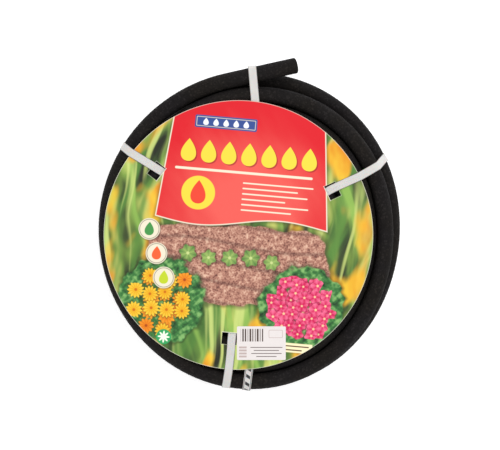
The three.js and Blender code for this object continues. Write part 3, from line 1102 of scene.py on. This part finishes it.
# %% Flowers and seedlings
PINK = dict(petals=5.0, reach=8.8, inner=srgb(204, 30, 86), outer=srgb(244, 116, 154),
            heart=srgb(236, 196, 150), shade=srgb(136, 16, 60))
ORANGE = dict(petals=11.0, reach=10.5, inner=srgb(220, 112, 16), outer=srgb(238, 162, 40),
              heart=srgb(168, 74, 14), shade=srgb(96, 66, 16))
YELLOW = dict(petals=13.0, reach=10.5, inner=srgb(228, 162, 18), outer=srgb(240, 208, 66),
              heart=srgb(200, 108, 16), shade=srgb(100, 82, 20))
SEEDLING = dict(petals=6.0, reach=11.0, inner=srgb(150, 178, 96), outer=srgb(84, 126, 62),
                heart=srgb(196, 210, 136), shade=srgb(58, 36, 30))
SEEDLINGS = (-8.0, -28.0, 5, 25.0)      # u, v, count, pitch
BUSHES = ((82.0, -80.0, 46.0), (-84.0, -84.0, 46.0))        # u, v, radius
BUSH_LEAVES = ((0.36, srgb(28, 58, 34)), (0.5, srgb(62, 122, 62)), (0.62, srgb(128, 178, 104)))
BEDS = (        # u, v, radius, cell, slide, bloom
    (82.0, -80.0, 38.0, 12.0, 4.0, PINK),
    (80.0, -78.0, 35.0, 12.5, 31.0, PINK),
    (-84.0, -84.0, 38.0, 19.0, 9.0, ORANGE),
    (-86.0, -86.0, 36.0, 20.0, 43.0, YELLOW),
)


def paint_flowers(ink):
    paint_row(ink, *SEEDLINGS, SEEDLING)
    right, left = (ink.disc(*bush) for bush in BUSHES)
    bushes = ink.least(right, left) + ragged(ink, 0.05, 12.0)
    leaning_right = streaks(ink, lean=50.0, width=5.0, length=11.0)
    leaning_left = streaks(ink, lean=-40.0, width=6.0, length=13.0)
    leaf = ink.ramp((leaning_right + leaning_left) * 0.5, BUSH_LEAVES)
    ink.paint(ink.inside(bushes - 7.0, 3.0) * 0.6, srgb(30, 40, 22))
    ink.fill(bushes - 4.0, leaf, 1.5)
    for bed in BEDS:
        paint_bed(ink, *bed)


print(len(BEDS), "beds in", len(BUSHES), "bushes")

# %% [markdown]
# The red panel has a cream rim and a painted sheen: its middle is painted lighter, with a streaky edge, as a
# gloss reflection and shallow folds in the board would show. It carries a blue plate, a row of yellow drops,
# cream rules and one yellow disc. A drop is a shape whose half-width rises as the square root from its round
# foot and falls in a straight line to its tip.

# %% Drops and rules
CREAM = srgb(232, 224, 200)


def drop(ink, u, v, height, breadth):
    """Distance from the edge of a water drop that stands on its round foot, its middle at a place."""
    x, y = ink.u - u, ink.v - v
    up = ink.least(ink.most((y + height / 2) / height, 0.0), 1.0)
    half_width = ink.maths("SQRT", up) * (1.0 - up) * (1.3 * breadth)
    return ink.most(abs(x) - half_width, abs(y) - height / 2)


def drops_in_row(ink, u, v, count, pitch, height, breadth):
    """A mask of a row of drops, centred on a place."""
    place, within = ink.row(u, count, pitch)
    return ink.inside(drop(ink, place * pitch + u, v, height, breadth), FINE_EDGE) * within


def paint_rules(ink, left, top, pitch, height, lengths, colour):
    """Rules that start at one side, one under the other."""
    for row, length in enumerate(lengths):
        rule = ink.box(left + length / 2, top - pitch * row, length, height, height / 2)
        ink.fill(rule, colour, FINE_EDGE)


print("drops and rules ready")

# %% The panel
PANEL_RED = srgb(214, 26, 38)
PANEL_SHEEN = srgb(232, 92, 84)
PLATE_BLUE = srgb(54, 78, 142)
DROP_YELLOW = srgb(238, 212, 66)
DROP_RED = srgb(230, 70, 50)
DROP_SHADE = srgb(128, 30, 24)
PANEL_SHADE = srgb(50, 40, 24)
PLATE_WHITE = srgb(238, 240, 246)
PANEL_MIDDLE = 2.0
PANEL_HALF_WIDTH = 103.0
PANEL_TAPER = 0.10              # how fast its sides lean in towards its top
PANEL_FOOT = 15.0
FOOT_WAVE = (31.0, 6.0)         # its lower edge's sine wave: millimetres to a radian, and height
# Painted sheen on the red: its middle is painted lighter, as a gloss reflection would show, and fades out
# away from it.
SHEEN_MIDDLE = (8.0, 40.0)
SHEEN_WIDEN = 0.85
SHEEN_REACH = (112.0, 26.0)      # how far from its middle the glow ends, and where it is full
RIM_WIDTH = 1.3
PLATE = (-26.0, 131.0)
PLATE_RIMS = (      # width, height, corner, tint
    (74.0, 15.0, 2.0, PLATE_BLUE), (70.4, 11.4, 1.0, CREAM), (69.2, 10.2, 0.6, PLATE_BLUE))
PLATE_DROPS = dict(count=5, pitch=12.0, height=8.4, breadth=6.4)
BIG_DROPS = dict(count=7, pitch=24.0, height=27.0, breadth=18.0)
LONG_RULE = (0.0, 74.0, 164.0, 3.0, 1.5)        # u, v, width, height, corner
SHORT_RULES = (84.0, 66.0, 78.0, 52.0, 80.0, 60.0)
BIG_DROPS_PLACE = (4.4, 96.0)
BIG_DROPS_SHADE = (6.0, 94.6)
YELLOW_DISC = (-52.0, 46.0, 20.0)               # u, v, radius
DISC_DROP = (-52.0, 47.0, 28.0, 18.0)           # u, v, height, breadth


def paint_panel(ink):
    sides = abs(ink.u - PANEL_MIDDLE) - PANEL_HALF_WIDTH + ink.v * PANEL_TAPER
    foot = ink.maths("SINE", ink.u / FOOT_WAVE[0]) * FOOT_WAVE[1] + PANEL_FOOT - ink.v
    shape = ink.most(sides, foot)
    # Painted sheen: a lighter middle of the red, its edge broken by soft diagonal streaks, stands in for a
    # gloss reflection and shallow folds.
    sheen_streaks = streaks(ink, lean=-38.0, width=26.0, length=90.0) * 60.0 - 30.0
    away = ink.length((ink.u - SHEEN_MIDDLE[0]) * SHEEN_WIDEN, ink.v - SHEEN_MIDDLE[1])
    painted_sheen = remap(ink, away + sheen_streaks, *SHEEN_REACH)
    ink.paint(ink.inside(shape - RIM_WIDTH - 2.0, 2.5) * 0.5, PANEL_SHADE)
    ink.fill(shape - RIM_WIDTH, CREAM)
    ink.fill(shape, mix_colour(ink, painted_sheen, PANEL_RED, PANEL_SHEEN))

    for width, height, corner, tint in PLATE_RIMS:
        ink.fill(ink.box(*PLATE, width, height, corner), tint)
    ink.paint(drops_in_row(ink, *PLATE, **PLATE_DROPS), PLATE_WHITE)
    ink.paint(drops_in_row(ink, *BIG_DROPS_SHADE, **BIG_DROPS) * 0.6, DROP_SHADE)
    ink.paint(drops_in_row(ink, *BIG_DROPS_PLACE, **BIG_DROPS), DROP_YELLOW)
    ink.fill(ink.box(*LONG_RULE), CREAM, FINE_EDGE)
    paint_rules(ink, 0.0, 62.0, pitch=6.4, height=1.7, lengths=SHORT_RULES, colour=CREAM)
    ink.fill(ink.disc(*YELLOW_DISC), DROP_YELLOW)
    ink.fill(drop(ink, *DISC_DROP), DROP_RED, FINE_EDGE)


print(BIG_DROPS["count"], "drops over", len(SHORT_RULES), "short rules")

# %% [markdown]
# Small tokens, a strip and a green disc with a pale sun fill the rest. A token is a cream disc with a ring
# and a drop on it, and a soft shadow lifts it off the picture.

# %% Tokens, a strip and a sun
TOKEN_TINTS = (srgb(70, 146, 74), srgb(238, 96, 52), srgb(190, 208, 44))
TOKEN_PLACES = ((-106.0, -2.0), (-95.0, -30.0), (-84.0, -58.0))
TOKEN_RADIUS = 12.8
RING_RADIUS = 11.4
RING_INK = srgb(96, 84, 70)
TOKEN_SHADE = srgb(50, 40, 34)
TOKEN_DROP = (16.0, 11.0)                       # height, breadth
STRIP = (76.0, -128.0, 46.0, 11.0, 1.0)         # u, v, width, height, corner
STRIP_CREAM = srgb(248, 234, 190)
STRIP_INK = srgb(90, 70, 50)
SUN_PLACE = (-78.0, -128.0)
SUN_RAYS = 8.0
SUN_GREEN = srgb(52, 160, 92)
SUN_PALE = srgb(240, 248, 226)


def paint_token(ink, u, v, tint):
    ink.paint(ink.inside(ink.disc(u + 0.6, v - 0.8, TOKEN_RADIUS + 0.4), 1.2) * 0.5, TOKEN_SHADE)
    ink.fill(ink.disc(u, v, TOKEN_RADIUS), CREAM)
    ink.fill(abs(ink.disc(u, v, RING_RADIUS)) - 0.3, RING_INK)
    ink.fill(drop(ink, u, v + 0.5, *TOKEN_DROP), tint, FINE_EDGE)


def paint_small_print(ink):
    for (u, v), tint in zip(TOKEN_PLACES, TOKEN_TINTS):
        paint_token(ink, u, v, tint)
    ink.fill(ink.box(*STRIP), STRIP_CREAM)
    paint_rules(ink, 57.0, -126.0, pitch=4.6, height=1.5, lengths=(38.0, 30.0), colour=STRIP_INK)
    x, y = ink.u - SUN_PLACE[0], ink.v - SUN_PLACE[1]
    rays = ink.maths("COSINE", ink.maths("ARCTAN2", y, x) * SUN_RAYS)
    ink.fill(ink.length(x, y) - 9.0, SUN_GREEN)
    ink.fill(ink.length(x, y) - 5.2 - rays * 1.9, SUN_PALE)


print(len(TOKEN_TINTS), "tokens")

# %% [markdown]
# The board shows pale where it is cut: round its rim and round the slots. Its back and its cut sides have no
# print, which the height of a place tells. The varnish is a low, slightly scuffed gloss over slow waves.

# %% The whole card
PRINT_EDGE = 0.5
SLOT_EDGE = 0.7
PRINT_DEPTH = (0.06 * MM, 0.03 * MM)    # below the card's top, where the print ends and where it is full
BOARD = srgb(226, 222, 206)
BACK_TINTS = (srgb(150, 142, 130), srgb(190, 184, 172))


def paint_cut_edges(ink):
    ink.paint(ink.inside(card_radius / MM - PRINT_EDGE - ink.length(ink.u, ink.v)) * 0.75, BOARD)
    half_length, half_width = SLOT_LENGTH / MM / 2, SLOT_WIDTH / MM / 2
    for _, _, slot_degrees, _, _ in CARD_STRAPS:
        along, across, _ = ink.parts(ink.turned(ink.plane, CARD_TURN - math.radians(slot_degrees)))
        outwards = along - slot_reach / MM
        hole = ink.most(abs(outwards) - half_length, abs(across) - half_width)
        inner_end = remap(ink, outwards, -half_length + 0.5, -half_length)
        ink.paint(ink.inside(hole - SLOT_EDGE, 0.3) * (inner_end * 0.6 + 0.3), BOARD)


def make_card_material():
    material, ink = new_material("printed_board", CardInk)
    for paint in (paint_leaves, paint_soil, paint_flowers, paint_panel, paint_small_print, paint_cut_edges):
        paint(ink)
    fibres = noise(ink, ink.room, 900.0, 4.0, 0.7)
    printed = remap(ink, ink.height, card_top - PRINT_DEPTH[0], card_top - PRINT_DEPTH[1])
    waves = noise(ink, ink.room, 9.0, 1.0)
    scuffs = noise(ink, ink.room, 140.0, 5.0, 0.7)
    surface(ink, {
        "Base Color": mix_colour(ink, printed, mix_colour(ink, fibres, *BACK_TINTS), ink.colour),
        "Roughness": remap(ink, scuffs, 0.3, 0.7, 0.30, 0.46) + (1.0 - printed) * 0.4,
        "Specular IOR Level": 0.2,
        "Normal": bump(ink, waves * 8.0 + fibres * 0.02, 0.6, 1.0 * MM),
    })
    return material


def dress_node(node, material):
    """Gives a solid of the frame a better material and leaves its shape alone."""
    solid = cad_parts[node]
    solid.data.materials.clear()
    solid.data.materials.append(material)


dress_node("card", make_card_material())
print("card printed")

# %% [markdown]
# ## The label
# The label is a small white paper sticker. It carries a block of upright bars, a frame and a few ruled lines,
# painted in the same way as the card, but square to the room and measured from the label's own middle.

# %% The label
LABEL_PAPER = srgb(232, 226, 224)
LABEL_FIBRE = srgb(214, 206, 204)
LABEL_TINT = srgb(186, 168, 164)
LABEL_INK = srgb(96, 82, 80)
LABEL_EDGE = 0.2
BAR_INK = srgb(70, 54, 48)
BAR_PITCH = 2.9
BAR_BLOCK = (-11.0, 9.5, 27.0, 15.0)            # u, v, width, height
TINT_FRAME = (17.0, 11.0, 16.0, 9.0, 1.0)       # and corner
LINE_TOP = -5.0
LINE_PITCH = 3.6
LINE_LENGTHS = (38.0, 30.0, 36.0, 24.0)

label_low, label_high = (Vector(corner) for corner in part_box("card_label"))
label_middle = (label_low + label_high) / 2 / MM
label_size = (label_high - label_low) / MM


def paint_bars(ink):
    """Upright bars in a block, each with a width of its own."""
    place = ink.u / BAR_PITCH
    from_middle = abs(ink.maths("FRACT", place) - 0.5)
    half_width = ink.maths("SINE", ink.maths("FLOOR", place) * 2.3) * 0.13 + 0.24
    ink.paint(ink.inside(from_middle - half_width, 0.04) * ink.inside(ink.box(*BAR_BLOCK)), BAR_INK)


def make_label_material():
    material, ink = new_material("label_paper", CardInk)
    x, y, _ = ink.parts(ink.room)
    ink.u, ink.v = x / MM - label_middle.x, y / MM - label_middle.y
    fibres = noise(ink, ink.room, 1200.0, 4.0, 0.7)
    ink.colour = mix_colour(ink, fibres, LABEL_PAPER, LABEL_FIBRE)
    paint_bars(ink)
    ink.fill(abs(ink.box(*TINT_FRAME)) - 0.3, LABEL_TINT, LABEL_EDGE)
    for row, length in enumerate(LINE_LENGTHS):
        v = LINE_TOP - LINE_PITCH * row
        ink.fill(ink.box(6.0, v, length, 0.9), LABEL_INK, LABEL_EDGE)
        ink.fill(ink.box(-22.0, v, 9.0, 2.2), LABEL_TINT, LABEL_EDGE)
    surface(ink, {
        "Base Color": ink.colour,
        "Roughness": remap(ink, fibres, 0.3, 0.7, 0.5, 0.65),
        "Normal": bump(ink, fibres, 0.3, 0.05 * MM),
    })
    return material


dress_node("card_label", make_label_material())
print("label of", round(label_size.x), "by", round(label_size.y), "mm")
